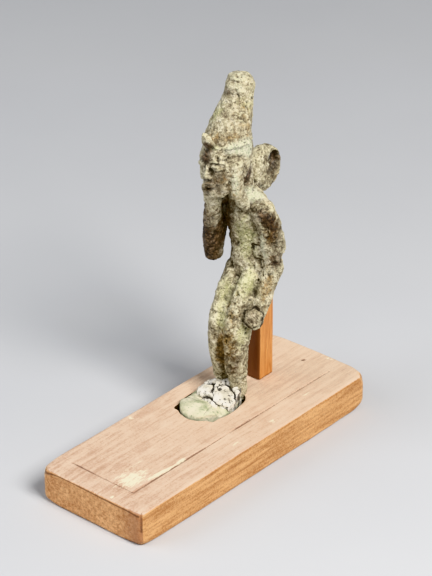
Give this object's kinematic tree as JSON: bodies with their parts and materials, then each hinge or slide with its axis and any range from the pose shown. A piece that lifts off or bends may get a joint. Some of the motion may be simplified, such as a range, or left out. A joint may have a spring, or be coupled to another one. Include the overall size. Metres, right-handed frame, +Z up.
{
  "type": "egyptian bronze statuette",
  "caption": "Small cast bronze figure with a tall crown, a hand raised to the mouth and a loop behind the head, set by its feet in an oblong wooden mount with a support post.",
  "frame": {"origin": "middle of the wooden board's underside", "axes": "+Z up; the figure faces -Y and its left side is +X; the board is long in Y"},
  "size_m": [0.035, 0.092, 0.1024],
  "materials": {
    "bronze": "ancient olive green patina with brown patches, pitted and crusted, matt",
    "putty": "pale green putty with white plaster crumbs, matt",
    "post_wood": "orange brown stained, low sheen",
    "board_wood": "worn pinkish tan top, orange brown sides, fine grain, low sheen"
  },
  "bodies": {
    "root": {"bronze_figure": "bronze", "setting_putty": "putty", "support_post": "post_wood", "wooden_board": "board_wood"}
  },
  "joints": []
}
